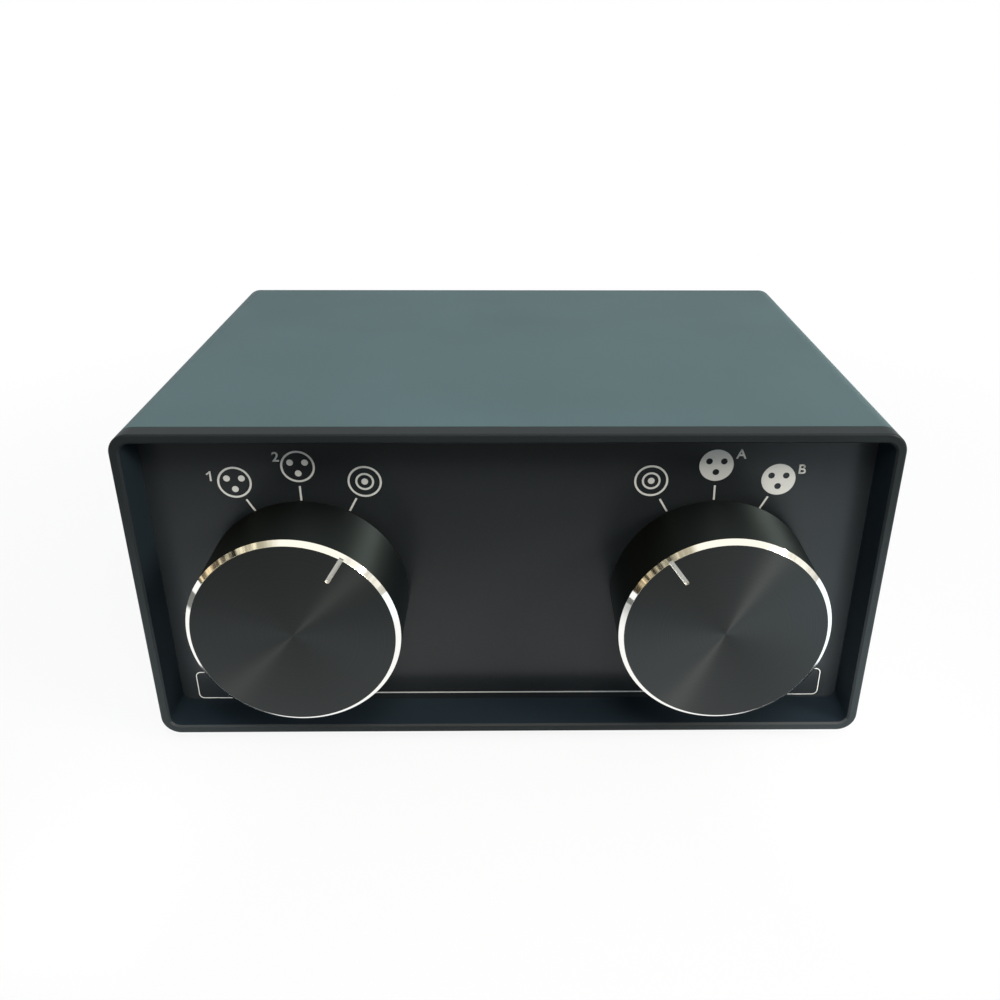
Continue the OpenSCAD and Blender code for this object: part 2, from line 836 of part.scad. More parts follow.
// Each ribbon rises from the front plug, bends to the rear and bends down into the rear plug
module ribbon_outline() {
    from = switch_board_y + board_t + header_deep + plug_deep / 2;
    to = rear_board_y - header_deep - plug_deep / 2;
    base = knob_z + header_h / 2;
    bend = base + ribbon_leg;
    half = ribbon_t / 2;
    for (y = [from, to]) translate([y - half, base]) square([ribbon_t, ribbon_leg]);
    translate([from + ribbon_bend_r, bend + ribbon_bend_r - half])
        square([to - from - 2 * ribbon_bend_r, ribbon_t]);
    for (end = [[from + ribbon_bend_r, 1], [to - ribbon_bend_r, 0]])
        translate([end[0], bend]) mirror([end[1], 0]) intersection() {
            difference() {
                circle(ribbon_bend_r + half);
                circle(ribbon_bend_r - half);
            }
            square(2 * ribbon_bend_r);
        }
}

module ribbon_cables() {
    color(ribbon_grey) place() for (side = sides)
        translate([side * ribbon_x - ribbon_w / 2, 0, 0])
            rotate([90, 0, 90]) linear_extrude(ribbon_w) ribbon_outline();
}

// Three-pin connectors

// Runs a piece at every connector of the upper row, the lower row or both
module at_connectors(rows) {
    for (i = [0 : columns - 1], row = rows)
        translate([connector_x(i), 0, middle_z + row * row_z]) children();
}

module at_connector(i, row) {
    translate([connector_x(i), 0, middle_z + row * row_z]) children();
}

module at_pins() {
    for (angle = contact_angles) clock(angle) translate([0, 0, contact_r]) children();
}

module at_flange_screws() {
    for (side = sides) translate([side * flange_screw_x, 0, -side * flange_screw_z]) children();
}

// Flange, barrel and collar with a mouth right through
module connector_shell(mouth_r) {
    difference() {
        union() {
            slab(case_d, case_d + flange_t) rounded(flange_w, flange_h, flange_r);
            rod(0, 0, insert_back, case_d, barrel_d / 2);
            rod(0, 0, case_d + flange_t, mouth_y, (barrel_d / 2 + socket_d / 2) / 2);
        }
        rod(0, 0, insert_back - cut, mouth_y + cut, mouth_r);
        at_flange_screws() rod(0, 0, case_d - cut, case_d + flange_t + cut, flange_screw_d / 2 + screw_gap / 2);
    }
}

// Places of a latch in the wall of a socket
latch_low = socket_d / 2 + latch_gap;
latch_end = mouth_y - latch_len;

module socket_shell(i) {
    slot_w = latch_w + 2 * latch_gap;
    slot_y = latch_end - latch_travel - latch_gap;
    color(bright_steel) place() at_connector(i, 1) difference() {
        connector_shell(socket_d / 2);
        translate([-slot_w / 2, slot_y, 0])
            cube([slot_w, mouth_y + cut - slot_y, latch_low + latch_t + latch_gap]);
    }
}

// Latch bar in the socket's wall, with a thumb tab outside
module socket_latch(i) {
    color(bright_steel) place() at_connector(i, 1) {
        translate([-latch_w / 2, latch_end, latch_low]) cube([latch_w, latch_len + tab_h, latch_t]);
        translate([-tab_w / 2, mouth_y + latch_travel + latch_gap, latch_low])
            cube([tab_w, tab_h - latch_travel - latch_gap, latch_t + tab_t]);
    }
}

// Round moulding of a socket that its contacts pass through
module contact_block(y_from, y_to, r) {
    difference() {
        rod(0, 0, y_from, y_to, r);
        at_pins() rod(0, 0, y_from - cut, y_to + cut, contact_d / 2 + insert_gap);
    }
}

module socket_inserts() {
    color(soft_black) place() at_connectors([1])
        contact_block(insert_back, insert_y, socket_d / 2 - insert_gap);
}

module socket_noses() {
    color(soft_black) place() at_connectors([1]) contact_block(insert_y, mouth_y - nose_set, nose_d / 2);
}

module socket_contact() {
    front = mouth_y - 2 * nose_set;
    difference() {
        union() {
            rod(0, 0, insert_back, front, contact_d / 2);
            rod(0, 0, tail_end, insert_back, tail_d / 2);
        }
        rod(0, 0, front - contact_deep, front + cut, contact_hole_d / 2);
    }
}

module socket_contacts() {
    color(brass_gold) place() at_connectors([1]) at_pins() socket_contact();
}

module plug_shell(i) {
    color(bright_steel) place() at_connector(i, -1) connector_shell(cup_d / 2);
}

module plug_inserts() {
    color(soft_black) place() at_connectors([-1]) difference() {
        rod(0, 0, insert_back, insert_y, cup_d / 2 - insert_gap);
        at_pins() rod(0, 0, insert_back - cut, insert_y + cut, pin_d / 2 + insert_gap);
    }
}

module plug_pins() {
    tip = mouth_y - pin_set;
    nose = pin_d / 4;
    color(brass_gold) place() at_connectors([-1]) at_pins() turned() polygon([
        [0, tail_end], [tail_d / 2, tail_end], [tail_d / 2, insert_back], [pin_d / 2, insert_back],
        [pin_d / 2, tip - nose], [pin_d / 2 - nose, tip], [0, tip]
    ]);
}

module connector_screws() {
    color(black_oxide) place() at_connectors(sides) at_flange_screws()
        screw(case_d + flange_t, flange_head_d, flange_head_h, flange_screw_d,
              flange_t + rear_t + flange_screw_out);
}

// Phono jacks

module at_phonos() {
    for (row = sides, half = sides)
        translate([phono_x, 0, middle_z + row * row_z + half * phono_pitch / 2]) children();
}

phono_end = case_d + phono_out;
tag_leg_r = phono_nut_af / 2 / cos(30) + tag_gap + tail_d / 2;
phono_back = case_d - phono_thread_len;

module phono_shells() {
    color(brass_gold) place() at_phonos() difference() {
        turned() polygon([
            [0, phono_back], [phono_thread_d / 2, phono_back], [phono_thread_d / 2, case_d],
            [phono_flange_d / 2, case_d], [phono_flange_d / 2, case_d + phono_flange_t],
            [phono_d / 2, case_d + phono_flange_t], [phono_d / 2, phono_end], [0, phono_end]
        ]);
        rod(0, 0, phono_back - cut, phono_end + cut, phono_bore_d / 2);
    }
}

module phono_insulators() {
    color(white_plastic) place() at_phonos() difference() {
        rod(0, 0, phono_back, phono_end - phono_fit, phono_bore_d / 2 - phono_fit);
        rod(0, 0, phono_back - cut, phono_end + cut, phono_contact_d / 2 + phono_fit);
    }
}

module phono_contacts() {
    front = phono_end - phono_flange_t;
    color(brass_gold) place() at_phonos() difference() {
        union() {
            rod(0, 0, phono_back, front, phono_contact_d / 2);
            rod(0, 0, tail_end, phono_back, tail_d / 2);
        }
        rod(0, 0, phono_back + phono_flange_t, front + cut, phono_hole_d / 2);
    }
}

// Ring under the nut with a leg that runs to the rear board
module phono_tags() {
    ring_w = tail_d;
    hole_r = phono_thread_d / 2 + phono_gap;
    color(brass_gold) place() at_phonos() {
        slab(rear_y - tag_t, rear_y) difference() {
            union() {
                circle(hole_r + ring_w);
                translate([tag_leg_r, 0]) circle(tail_d / 2);
                translate([0, -tail_d / 2]) square([tag_leg_r, tail_d]);
            }
            circle(hole_r);
        }
        rod(tag_leg_r, 0, tail_end, rear_y - tag_t / 2, tail_d / 2);
    }
}

module phono_nuts() {
    from = rear_y - tag_t - phono_nut_t;
    color(bright_steel) place() at_phonos() difference() {
        clock(30) hex_rod(phono_nut_af, from, rear_y - tag_t);
        rod(0, 0, from - cut, rear_y - tag_t + cut, phono_thread_d / 2 + phono_gap);
    }
}

sleeve();
front_frame();
front_panel();
rear_panel();
rear_panel_screws();
rubber_feet();
input_knob();
input_grub_screw();
input_shaft();
input_rotor();
input_wipers();
input_switch_bush();
input_switch_washer();
input_switch_nut();
input_switch_housing();
input_switch_terminals();
input_detent_spring();
output_knob();
output_grub_screw();
output_shaft();
output_rotor();
output_wipers();
output_switch_bush();
output_switch_washer();
output_switch_nut();
output_switch_housing();
output_switch_terminals();
output_detent_spring();
switch_board();
rear_board();
ribbon_cables();
ribbon_headers();
ribbon_plugs();
socket_shell(0);  // socket_shell_1
socket_shell(1);  // socket_shell_2
socket_shell(2);  // socket_shell_3
socket_shell(3);  // socket_shell_4
socket_inserts();
socket_noses();
socket_contacts();
socket_latch(0);  // socket_latch_1
socket_latch(1);  // socket_latch_2
socket_latch(2);  // socket_latch_3
socket_latch(3);  // socket_latch_4
plug_shell(0);  // plug_shell_1
plug_shell(1);  // plug_shell_2
plug_shell(2);  // plug_shell_3
plug_shell(3);  // plug_shell_4
plug_inserts();
plug_pins();
connector_screws();
phono_shells();
phono_insulators();
phono_contacts();
phono_tags();
phono_nuts();
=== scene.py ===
import json
import math

import bmesh
import bpy
from mathutils import Matrix, Vector


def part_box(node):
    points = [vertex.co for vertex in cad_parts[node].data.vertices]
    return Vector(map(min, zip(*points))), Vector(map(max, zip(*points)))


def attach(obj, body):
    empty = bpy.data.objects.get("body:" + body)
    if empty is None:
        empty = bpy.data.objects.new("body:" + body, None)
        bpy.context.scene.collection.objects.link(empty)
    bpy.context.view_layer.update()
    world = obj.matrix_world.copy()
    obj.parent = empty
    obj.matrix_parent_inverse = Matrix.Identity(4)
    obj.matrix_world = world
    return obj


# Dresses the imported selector: finishes for its solids, print on its panel, camera, table, room and lamps
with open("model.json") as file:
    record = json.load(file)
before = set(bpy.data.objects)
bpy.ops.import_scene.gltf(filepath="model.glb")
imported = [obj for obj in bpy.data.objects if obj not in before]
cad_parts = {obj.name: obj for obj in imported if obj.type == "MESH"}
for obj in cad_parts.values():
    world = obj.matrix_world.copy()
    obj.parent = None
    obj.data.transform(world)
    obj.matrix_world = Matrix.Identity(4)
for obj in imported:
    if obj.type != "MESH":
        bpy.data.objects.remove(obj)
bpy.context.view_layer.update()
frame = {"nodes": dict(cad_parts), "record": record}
nodes = frame["nodes"]

MM = 0.001
WHITE = (1.0, 1.0, 1.0)
QUARTER_TURN = math.pi / 2

# Places taken from the solids
PANEL_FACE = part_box("front_panel")[0].y
KNOB_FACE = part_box("input_knob")[0].y
CASE_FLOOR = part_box("sleeve")[0].z
KNOB_AXES = {}
for side in ("input", "output"):
    low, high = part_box(f"{side}_knob")
    KNOB_AXES[side] = ((low.x + high.x) / 2, (low.z + high.z) / 2)

# In the values below, a noise is its scale, detail and roughness.
# Ends are the two values between which a mask or a level changes.

# Blasted and anodised metal, with its depth in millimetres
BLAST_GRAIN = 5200.0
BLAST_DRIFT = 26.0
BLAST_DETAIL = 3.0
PIT_ROUGHNESS = 0.62
PIT_ENDS = (0.28, 0.72)
PIT_SHARE = 0.45
TONE_ROUGHNESS = 0.55
TONE_ENDS = (0.3, 0.7)
TONE_SHARE = 0.55
ANODISED_VARY = 0.12
ANODISED_SWAY = 0.05
ANODISED_BUMP = 0.35
ANODISED_DEPTH = 0.012

# Lint: cells a metre, a speck's size as a share of its cell, and the share of cells with none
LINT_SPREAD = 90.0
LINT_SIZE = 0.03
LINT_NONE = 0.93
LINT_COLOUR = (0.5, 0.5, 0.48)

# Moulded, plated and painted finishes
PLAIN_DRIFT = 60.0
PLAIN_SWAY = 0.06
PLAIN_BUMP = 0.25

# Front frame: how far inside its outline the opening starts, and its mouth's bevel behind the rim
FRAME_MARGIN = 1 * MM
MOUTH_FROM = 0.03 * MM
MOUTH_TO = 0.42 * MM
LOWER_EDGE_TOP = 3 * MM
# Painted bluish sky reflection for the walls inside the opening
FRAME_WALL_PAINTED_REFLECTION = (0.0185, 0.0285, 0.037)
# Painted highlight on the mouth's bevel along the lower inner edge
LOWER_EDGE_PAINTED_HIGHLIGHT = (0.036, 0.04, 0.04)

# Knobs: depths behind the face, and the radii that part the pointer from the bevel
CUT_FROM = 0.02 * MM
CUT_TO = 0.895 * MM
SIDE_FROM = 0.89 * MM
BEVEL_RADII = (20.0 * MM, 20.1 * MM)
GROOVE_NOISE = (5200.0, 2.0, 0.6)
GROOVE_ENDS = (0.3, 0.7)
GROOVE_BUMP = 0.12
GROOVE_DEPTH = 0.01 * MM
KNOB_COLOUR = (0.036, 0.038, 0.037)
FACE_DARK = (0.0495, 0.0535, 0.0535)
FACE_LIGHT = (0.062, 0.0665, 0.0655)
# The side's darker colour is painted shade; it is the same anodised metal as the face
SIDE_PAINTED_SHADE = (0.0215, 0.0262, 0.0258)
CUT_COLOUR = (0.93, 0.91, 0.86)
KNOB_ROUGHNESS = 0.45
FACE_ROUGHNESS = 0.34
SIDE_ROUGHNESS = 0.53
POINTER_ROUGHNESS = 0.34
BEVEL_ROUGHNESS = 0.07
SPUN_ANISOTROPY = 0.9
SPUN_TURN = 0.25

# Print on the front panel, in millimetres: signs from a knob's axis, the rest from the case's floor
INK_T = 0.03
ICON_R = 3.47
ICON_LINE = 0.42
ICON_STEPS = 64
INNER_RING_R = ICON_R * 0.55
CENTRE_DOT_R = ICON_R * 0.2
DOT_R = 0.68
DOT_STEPS = 24
DOTS = ((-1.5, 0.88), (1.5, 0.88), (0.0, -1.51))
SIGNS = {"input": ("line", "line", "phono"), "output": ("phono", "solid", "solid")}
SIGN_PLACES = {
    "input": ((-13.385, 24.05), (-0.31, 27.55), (12.96, 24.19)),
    "output": ((-13.61, 24.245), (-0.59, 27.7), (12.34, 24.52)),
}
TICK_ANGLES = {"input": (-29.5, -0.7, 28.4), "output": (-30.0, -1.3, 27.2)}
TICK_FROM = 19.9
TICK_TO = 23.2
TICK_W = 0.4
ONE_STEM = ((-60.5, 56.95), (-60.5, 59.15))
ONE_STEM_W = 0.36
ONE_FLAG = ((-61.25, 58.4), (-60.5, 59.0))
ONE_FLAG_W = 0.3
LETTERS = (("2", -46.97, 62.2), ("A", 46.66, 62.7), ("B", 59.29, 59.3))
LETTER_H = 2.15
FONT_SIZE_TO_HEIGHT = 1.37
FONT_SWELL = 0.05
BRACKETS = ((-70.45, -48, 2.3, 9.55), (70.0, 48, 2.65, 9.95))
BRACKET_R = 1.2
BRACKET_W = 0.18
BRACKET_STEPS = 6
ROUND_PROFILE = 0.5
RULE_HALF = 36
RULE_Z = 3.68
RULE_W = 0.3

# Camera at the photograph's place
CAMERA_AT = (0.49 * MM, -219.11 * MM, 145.12 * MM)
YAW = math.radians(0.77)
PITCH = math.radians(25.4701)
ROLL = math.radians(-0.24)
FOCAL = 0.95464
SHIFT = (-0.0238, -0.02344)
SENSOR_W = 36
CLIP_START = 0.005

# White table top, in metres: a painted shadow ahead (a dim patch) and a painted dark reflection on the
# left (a dim strip) show only in mirrors
FLOOR_HALF = 6.0
FLOOR_GAP = 0.05 * MM
FLOOR_COLOUR = (0.9, 0.9, 0.9)
FLOOR_ROUGHNESS = 0.9
# Painted shade: the floor's colour for bounced light is darker ahead
FLOOR_PAINTED_SHADE_AHEAD = (0.12, 0.12, 0.12)
AHEAD_Y = (-0.08, -0.15)
PATCH_SHIFT_X = 0.06
PATCH_SHIFT_Y = 0.1
PATCH_SLOPE = 0.9
PATCH_ENDS = (0.045, 0.125)
PATCH_SHARE = 0.95
STRIP_RIGHT_X = (-0.18, -0.2)
STRIP_LEFT_X = (-0.4, -0.36)
# Colour of the painted shadow ahead and of the painted dark reflection on the left
MIRRORED_PAINTED_SHADE = (0.2, 0.21, 0.2)
# In mirrors the card glows brighter than white, more so and bluer to the right: painted light
CARD_X = (0.06, 0.1)
CARD_LEFT = (1.08, 1.1, 1.12)
CARD_RIGHT_PAINTED_LIGHT = (1.2, 1.4, 1.5)
GLOW_AT = (0.12, 0.3)
GLOW_SHARES = (0.9, 1.0)

# Room that the metal mirrors: ends are parts of a unit direction, and levels are shares of white
AMBIENT = 0.22
AMBIENT_COLOUR = (0.72, 0.97, 1.25)
WALL_LEVEL = 0.55
WALL_X = (0.1, 0.45)
WALL_X_LEVELS = (0.92, 1.2)
WALL_Y = (-0.1, 0.3)
WALL_Z = (0.15, 0.45)
WALL_Z_LEVELS = (0.85, 1.15)
CEILING_LEVEL = 1.12
CEILING_Z = (0.32, 0.6)
SHELF_X = (-0.25, -0.35)
SHELF_Y = (0.0, -0.2)
SHELF_LOW_LEVEL = 0.45
SHELF_LOW_Z = (0.56, 0.6)
SHELF_HIGH_LEVEL = 0.67
SHELF_HIGH_Z = (0.72, 0.8)
WINDOW_X = (0.4, 0.5)
WINDOW_Y = (0.05, -0.1)
WINDOW_NOISE = (5.0, 2.0, 0.5)
WINDOW_ENDS = (0.4, 0.6)
WINDOW_LEVELS = (0.65, 1.1)
THINGS_NOISE = (13.0, 4.0, 0.65)
THINGS_ENDS = (0.47, 0.57)
THINGS_LEVELS = (0.02, 1.1)
THINGS_Y = (-0.5, -0.9)
THINGS_Y_LEVELS = (1.0, 0.3)
TINT_Y = (0.0, 0.3)
TINT_AHEAD = (1.0, 0.98, 0.9)
TINT_BEHIND = (0.94, 1.0, 1.0)
SHELF_TINT = (1.0, 0.92, 0.68)
SHELF_TINT_Z = (0.8, 0.72)
WARM_TINT = (1.0, 0.8, 0.5)
WARM_Y = (0.1, -0.2)
WARM_Z = (0.45, 0.2)

# Lamps, in metres and watts
KEY_AT = (0.84, -0.54, 0.54)
KEY_AIM = (0, -0.03, 0.05)
SOFT_WARM = (1.0, 0.96, 0.91)
NEAR_LAMPS = (("near_left", -1, 0.01), ("near_right", 1, 0.016))
NEAR_X = 0.08
NEAR_AIM_X = 0.075
NEAR_SPREAD = math.radians(75)

# Sockets of a mix node that mixes colours
MIX_MASK = 0
MIX_A = 6
MIX_B = 7
MIX_RESULT = 2


# Shader helpers
def feed(tree, socket, value):
    """Links another node's output to a socket, or sets the socket to a plain value."""
    if isinstance(value, bpy.types.NodeSocket):
        tree.links.new(value, socket)
    else:
        socket.default_value = value


def put(tree, kind, links=None, **values):
    """Adds a shader node, sets its properties, and feeds its inputs."""
    made = tree.nodes.new(kind)
    for key, value in values.items():
        setattr(made, key, value)
    for key, value in (links or {}).items():
        feed(tree, made.inputs[key], value)
    return made


def maths(tree, operation, a, b=0.0):
    return put(tree, "ShaderNodeMath", {0: a, 1: b}, operation=operation).outputs[0]


def times(tree, first, *others):
    """The product of several values."""
    for other in others:
        first = maths(tree, "MULTIPLY", first, other)
    return first


def largest(tree, first, *others):
    """The largest of several values."""
    for other in others:
        first = maths(tree, "MAXIMUM", first, other)
    return first


def span(tree, value, ends, to=(0.0, 1.0)):
    """Maps a value from one range to another, held at both ends."""
    links = {
        "Value": value,
        "From Min": ends[0],
        "From Max": ends[1],
        "To Min": to[0],
        "To Max": to[1],
    }
    return put(tree, "ShaderNodeMapRange", links, clamp=True).outputs["Result"]


def rgba(colour):
    """A colour with its alpha; a socket stays as it is."""
    if isinstance(colour, bpy.types.NodeSocket):
        return colour
    return (*colour, 1.0)


def mix_colour(tree, mask, a, b):
    """Blends two colours: a where the mask is 0, b where it is 1."""
    made = put(tree, "ShaderNodeMix", data_type="RGBA")
    feed(tree, made.inputs[MIX_MASK], mask)
    feed(tree, made.inputs[MIX_A], rgba(a))
    feed(tree, made.inputs[MIX_B], rgba(b))
    return made.outputs[MIX_RESULT]


def noise(tree, vector, scale, detail, roughness):
    links = {"Vector": vector, "Scale": scale, "Detail": detail, "Roughness": roughness}
    return put(tree, "ShaderNodeTexNoise", links).outputs["Fac"]


def split(tree, vector):
    """The X, Y and Z of a vector."""
    return put(tree, "ShaderNodeSeparateXYZ", {"Vector": vector}).outputs


def length(tree, vector):
    return put(tree, "ShaderNodeVectorMath", {0: vector}, operation="LENGTH").outputs["Value"]


def where(tree):
    """A point's place in the shared frame."""
    return tree.nodes.new("ShaderNodeTexCoord").outputs["Object"]


def group(name, inputs, outputs):
    """A new shader node group with float outputs; an input of None is a vector, any other a float."""
    tree = bpy.data.node_groups.new(name, "ShaderNodeTree")
    for label, value in inputs.items():
        kind = "NodeSocketVector" if value is None else "NodeSocketFloat"
        socket = tree.interface.new_socket(label, in_out="INPUT", socket_type=kind)
        if value is not None:
            socket.default_value = value
    for label in outputs:
        tree.interface.new_socket(label, in_out="OUTPUT", socket_type="NodeSocketFloat")
    return tree, tree.nodes.new("NodeGroupInput"), tree.nodes.new("NodeGroupOutput")


def place_group(tree, grouped, **values):
    return put(tree, "ShaderNodeGroup", node_tree=grouped, links=values).outputs


# Shared finishes
def make_blasted():
    """Fine bead-blasted pitting with a slow drift in tone, for anodised metal."""
    inputs = {"Place": None, "Grain": BLAST_GRAIN, "Drift": BLAST_DRIFT}
    tree, start, end = group("blasted", inputs, ("Pit", "Tone"))
    place = start.outputs["Place"]
    fine = noise(tree, place, start.outputs["Grain"], BLAST_DETAIL, PIT_ROUGHNESS)
    slow = noise(tree, place, start.outputs["Drift"], BLAST_DETAIL, TONE_ROUGHNESS)
    tree.links.new(span(tree, fine, PIT_ENDS), end.inputs["Pit"])
    tree.links.new(span(tree, slow, TONE_ENDS), end.inputs["Tone"])
    return tree


def make_lint():
    """A few scattered specks of lint."""
    inputs = {"Place": None, "Spread": LINT_SPREAD, "Size": LINT_SIZE}
    tree, start, end = group("lint", inputs, ("Speck",))
    links = {"Vector": start.outputs["Place"], "Scale": start.outputs["Spread"], "Randomness": 1.0}
    cells = put(tree, "ShaderNodeTexVoronoi", links).outputs
    chosen = put(tree, "ShaderNodeSeparateColor", {"Color": cells["Color"]}).outputs["Red"]
    near = maths(tree, "LESS_THAN", cells["Distance"], start.outputs["Size"])
    rare = maths(tree, "GREATER_THAN", chosen, LINT_NONE)
    tree.links.new(times(tree, near, rare), end.inputs["Speck"])
    return tree


BLASTED = make_blasted()
LINT = make_lint()


def material(name, colour, roughness, metallic=0.0, specular=0.5):
    """A material with its shader's plain values set; returns the material, tree and shader."""
    made = bpy.data.materials.new(name)
    made.use_nodes = True
    tree = made.node_tree
    shader = tree.nodes["Principled BSDF"]
    shader.inputs["Base Color"].default_value = rgba(colour)
    shader.inputs["Roughness"].default_value = roughness
    shader.inputs["Metallic"].default_value = metallic
    shader.inputs["Specular IOR Level"].default_value = specular
    return made, tree, shader


def bump(tree, shader, height, strength, distance):
    links = {"Height": height, "Strength": strength, "Distance": distance}
    made = put(tree, "ShaderNodeBump", links)
    tree.links.new(made.outputs["Normal"], shader.inputs["Normal"])


def shade(colour, factor):
    return tuple(min(1.0, part * factor) for part in colour)


def uneven(tree, mask, colour, vary):
    """A colour that is a little darker where the mask is 0 and a little lighter where it is 1."""
    return mix_colour(tree, mask, shade(colour, 1 - vary), shade(colour, 1 + vary))


def sway(tree, shader, mask, roughness, amount):
    """Roughness that sways by an amount to either side."""
    swaying = span(tree, mask, (0, 1), (roughness - amount, roughness + amount))
    tree.links.new(swaying, shader.inputs["Roughness"])


def anodised(name, colour, roughness, specular, linty=False):
    """Blasted and anodised aluminium, with or without a little lint."""
    made, tree, shader = material(name, colour, roughness, specular=specular)
    place = where(tree)
    finish = place_group(tree, BLASTED, Place=place)
    slow = times(tree, finish["Tone"], TONE_SHARE)
    fine = times(tree, finish["Pit"], PIT_SHARE)
    base = uneven(tree, maths(tree, "ADD", slow, fine), colour, ANODISED_VARY)
    if linty:
        speck = place_group(tree, LINT, Place=place)["Speck"]
        base = mix_colour(tree, speck, base, LINT_COLOUR)
    tree.links.new(base, shader.inputs["Base Color"])
    sway(tree, shader, finish["Pit"], roughness, ANODISED_SWAY)
    bump(tree, shader, finish["Pit"], ANODISED_BUMP, ANODISED_DEPTH * MM)
    return made


SLEEVE = anodised("sleeve_anodised", (0.082, 0.134, 0.141), roughness=0.5, specular=0.16)
FRAME = anodised("frame_anodised", (0.0185, 0.0225, 0.0235), roughness=0.42, specular=0.1)
PANEL = anodised("panel_anodised", (0.018, 0.021, 0.0222), roughness=0.23, specular=0.27, linty=True)


def paint_frame_reflection_and_highlight():
    """Paints a bluish sky reflection on the walls inside the frame's opening, and a highlight along its
    lower inner edge.
    """
    tree = FRAME.node_tree
    target = tree.nodes["Principled BSDF"].inputs["Base Color"]
    low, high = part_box("front_frame")
    parts = split(tree, where(tree))
    across = maths(tree, "ABSOLUTE", parts["X"])
    depth = maths(tree, "SUBTRACT", parts["Y"], low.y)
    height = maths(tree, "SUBTRACT", parts["Z"], low.z)
    opening = times(
        tree,
        maths(tree, "LESS_THAN", across, high.x - FRAME_MARGIN),
        maths(tree, "GREATER_THAN", height, FRAME_MARGIN),
        maths(tree, "LESS_THAN", height, high.z - low.z - FRAME_MARGIN),
    )
    # Painted reflection: the walls inside the opening get a bluish colour
    wall = times(tree, opening, maths(tree, "GREATER_THAN", depth, MOUTH_TO))
    # Painted highlight along the mouth's bevel at the lower inner edge
    edge = times(
        tree,
        opening,
        maths(tree, "GREATER_THAN", depth, MOUTH_FROM),
        maths(tree, "LESS_THAN", depth, MOUTH_TO),
        maths(tree, "LESS_THAN", height, LOWER_EDGE_TOP),
    )
    colour = mix_colour(tree, wall, target.links[0].from_socket, FRAME_WALL_PAINTED_REFLECTION)
    tree.links.new(mix_colour(tree, edge, colour, LOWER_EDGE_PAINTED_HIGHLIGHT), target)


paint_frame_reflection_and_highlight()


def turned_knob(which):
    """Turned black knob: spun face, satin side darkened with painted shade, bright cut bevel and pointer.
    """
    made, tree, shader = material(f"{which}_knob_turned", KNOB_COLOUR, KNOB_ROUGHNESS, metallic=1.0)
    x, z = KNOB_AXES[which]
    links = {"Vector": where(tree), "Location": (-x, -KNOB_FACE, -z)}
    centred = put(tree, "ShaderNodeMapping", links).outputs["Vector"]
    parts = split(tree, centred)
    depth = parts["Y"]
    flat = put(tree, "ShaderNodeCombineXYZ", {"X": parts["X"], "Y": parts["Z"]}).outputs["Vector"]
    radius = length(tree, flat)
    turned = put(tree, "ShaderNodeCombineXYZ", {"X": radius, "Y": depth}).outputs["Vector"]
    grooves = noise(tree, turned, *GROOVE_NOISE)
    behind = maths(tree, "GREATER_THAN", depth, CUT_FROM)
    before = maths(tree, "LESS_THAN", depth, CUT_TO)
    cut = times(tree, behind, before)
    side = maths(tree, "GREATER_THAN", depth, SIDE_FROM)
    base = mix_colour(tree, span(tree, grooves, GROOVE_ENDS), FACE_DARK, FACE_LIGHT)
    # Painted shade: the side is darker than the face
    base = mix_colour(tree, side, base, SIDE_PAINTED_SHADE)
    base = mix_colour(tree, cut, base, CUT_COLOUR)
    tree.links.new(base, shader.inputs["Base Color"])
    satin = span(tree, side, (0, 1), (FACE_ROUGHNESS, SIDE_ROUGHNESS))
    polished = span(tree, radius, BEVEL_RADII, (POINTER_ROUGHNESS, BEVEL_ROUGHNESS))
    change = times(tree, cut, maths(tree, "SUBTRACT", polished, satin))
    tree.links.new(maths(tree, "ADD", satin, change), shader.inputs["Roughness"])
    bump(tree, shader, grooves, GROOVE_BUMP, GROOVE_DEPTH)
    shader.inputs["Anisotropic"].default_value = SPUN_ANISOTROPY
    shader.inputs["Anisotropic Rotation"].default_value = SPUN_TURN
    tangent = put(tree, "ShaderNodeTangent", direction_type="RADIAL", axis="Y").outputs["Tangent"]
    tree.links.new(tangent, shader.inputs["Tangent"])
    return made


def plain(name, colour, roughness, metallic=0.0, specular=0.5, grain=900.0, depth=0.02, vary=0.1):
    """Moulded, plated or painted finish with a fine surface and slight unevenness."""
    made, tree, shader = material(name, colour, roughness, metallic, specular)
    finish = place_group(tree, BLASTED, Place=where(tree), Grain=grain, Drift=PLAIN_DRIFT)
    tree.links.new(uneven(tree, finish["Tone"], colour, vary), shader.inputs["Base Color"])
    sway(tree, shader, finish["Tone"], roughness, PLAIN_SWAY)
    bump(tree, shader, finish["Pit"], PLAIN_BUMP, depth * MM)
    return made


BLACK_SCREW = plain("black_oxide", (0.02, 0.02, 0.022), 0.42, metallic=0.6)
RUBBER = plain("foot_rubber", (0.022, 0.022, 0.022), 0.75, specular=0.4, grain=1500.0, depth=0.06)
STEEL = plain("zinc_plated_steel", (0.6, 0.6, 0.58), 0.3, metallic=1.0, grain=2500.0, depth=0.006)
NICKEL = plain("satin_nickel", (0.56, 0.55, 0.52), 0.28, metallic=1.0, grain=3000.0, depth=0.008)
GOLD = plain("gold_plating", (0.78, 0.53, 0.19), 0.2, metallic=1.0, grain=2500.0, depth=0.004)
BLACK_PLASTIC = plain("moulded_black", (0.018, 0.018, 0.019), 0.5, grain=1800.0)
WHITE_PLASTIC = plain("moulded_white", (0.72, 0.71, 0.67), 0.45, grain=1800.0)
BOARD = plain("green_board", (0.03, 0.16, 0.07), 0.4, grain=800.0)
RIBBON = plain("grey_ribbon", (0.35, 0.36, 0.38), 0.5, depth=0.03)
INK = plain("panel_ink", (0.66, 0.66, 0.61), 0.6, specular=0.3, grain=2600.0, depth=0.006, vary=0.06)

